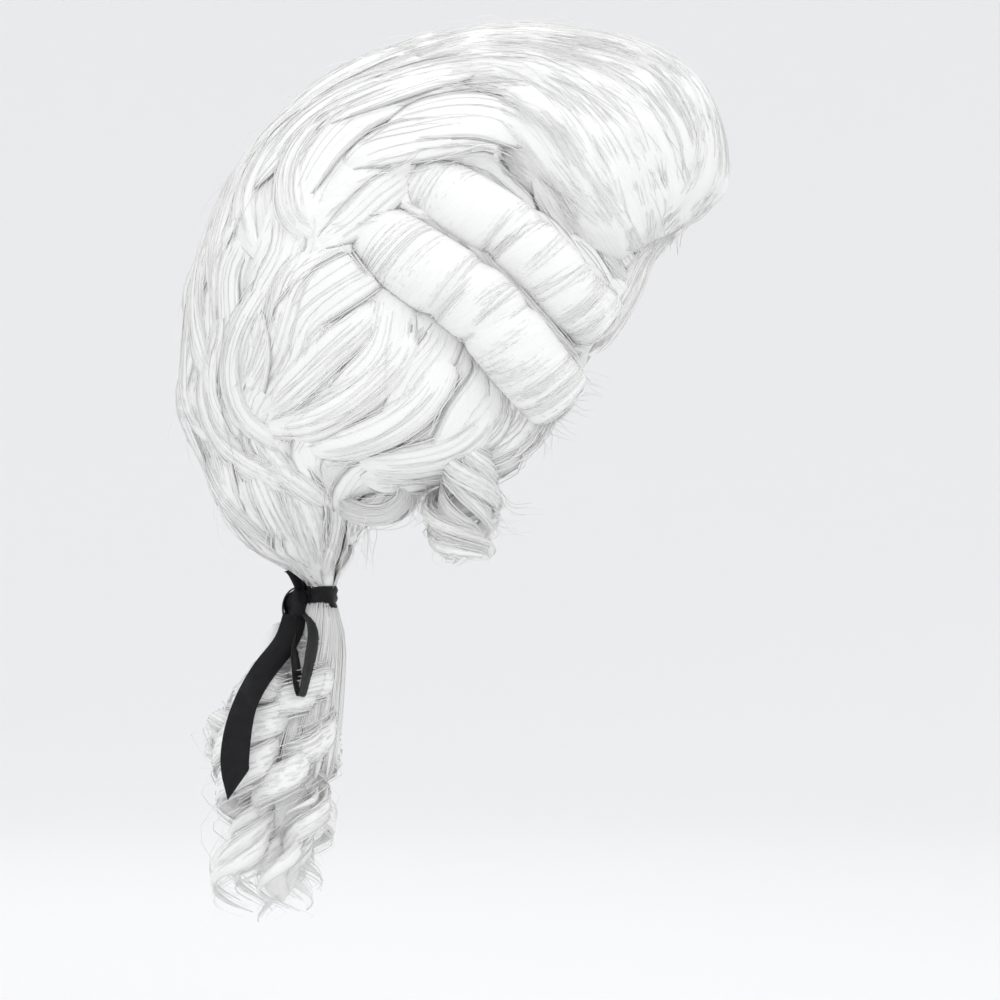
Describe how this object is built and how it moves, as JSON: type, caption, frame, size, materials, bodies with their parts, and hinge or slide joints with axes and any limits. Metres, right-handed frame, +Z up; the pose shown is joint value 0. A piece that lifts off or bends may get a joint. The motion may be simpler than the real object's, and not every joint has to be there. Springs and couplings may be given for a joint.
{
  "type": "powdered wig",
  "caption": "White powdered wig with a swept-up foretop, rolled side curls, wavy back hair and a corkscrew queue tied with a black satin ribbon.",
  "frame": {"origin": "crown of the wearer's head, on the inner face of the cap", "axes": "+X to the wearer's front, +Y to the wearer's left, +Z up"},
  "size_m": [0.2746, 0.2206, 0.4428],
  "materials": {
    "white_hair": "glossy synthetic fibre",
    "cap_net": "matte elastic net with weft bands",
    "black_satin": "satin"
  },
  "bodies": {
    "root": {"wig_cap": "cap_net", "foretop": "white_hair", "back_hair": "white_hair", "side_hair_right": "white_hair", "side_hair_left": "white_hair", "side_curl_upper_right": "white_hair", "side_curl_upper_left": "white_hair", "side_curl_lower_right": "white_hair", "side_curl_lower_left": "white_hair", "ear_ringlet_right": "white_hair", "ear_ringlet_left": "white_hair", "nape_curl_right": "white_hair", "nape_curl_left": "white_hair", "queue": "white_hair", "ribbon_band": "black_satin", "ribbon_knot": "black_satin", "ribbon_loop_right": "black_satin", "ribbon_loop_left": "black_satin", "ribbon_tail_right": "black_satin", "ribbon_tail_left": "black_satin"}
  },
  "joints": []
}
